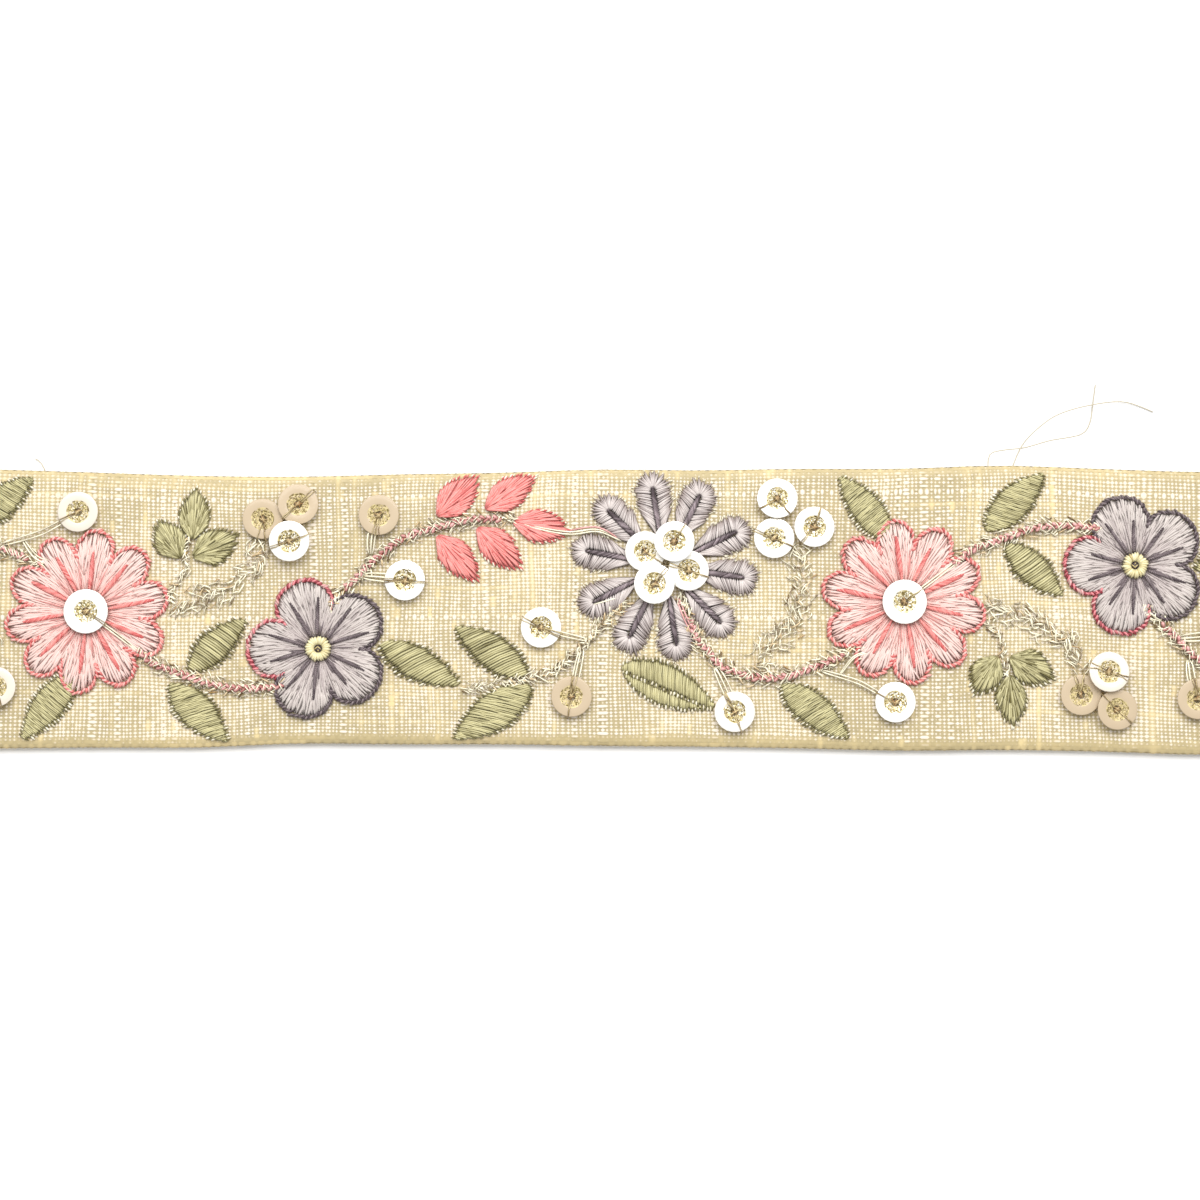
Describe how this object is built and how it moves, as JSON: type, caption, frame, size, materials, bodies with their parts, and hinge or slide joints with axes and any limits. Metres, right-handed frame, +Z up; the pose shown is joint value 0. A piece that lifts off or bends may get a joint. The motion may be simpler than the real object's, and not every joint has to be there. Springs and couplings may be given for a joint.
{
  "type": "sequin embroidered ribbon",
  "caption": "Flat cream woven ribbon with folded hems, raised floral embroidery and sewn-on sequins, one whole repeat long, for trimming clothes and furnishings.",
  "frame": {"origin": "on the surface that the ribbon lies on, under the middle of its box", "axes": "+X along the ribbon, +Y across it towards its top edge in the picture, +Z up out of the embroidered face"},
  "size_m": [0.204, 0.0362, 0.0033],
  "materials": {
    "ground_cloth": "satin",
    "pink_thread": "satin",
    "coral_thread": "satin",
    "violet_thread": "satin",
    "green_thread": "satin",
    "gold_thread": "satin",
    "sequin": "polished"
  },
  "bodies": {
    "root": {"ribbon": "ground_cloth", "sequin_01": "sequin", "sequin_02": "sequin", "sequin_03": "sequin", "sequin_04": "sequin", "sequin_05": "sequin", "sequin_06": "sequin", "sequin_07": "sequin", "sequin_08": "sequin", "sequin_09": "sequin", "sequin_10": "sequin", "sequin_11": "sequin", "sequin_12": "sequin", "sequin_13": "sequin", "sequin_14": "sequin", "sequin_15": "sequin", "sequin_16": "sequin", "sequin_17": "sequin", "sequin_18": "sequin", "sequin_19": "sequin", "sequin_20": "sequin", "sequin_21": "sequin", "sequin_22": "sequin", "sequin_23": "sequin", "sequin_24": "sequin", "sequin_25": "sequin", "sequin_26": "sequin", "sequin_27": "sequin", "sequin_28": "sequin", "sequin_29": "sequin", "sequin_30": "sequin", "sequin_31": "sequin", "sequin_32": "sequin", "sequin_33": "sequin"}
  },
  "joints": []
}
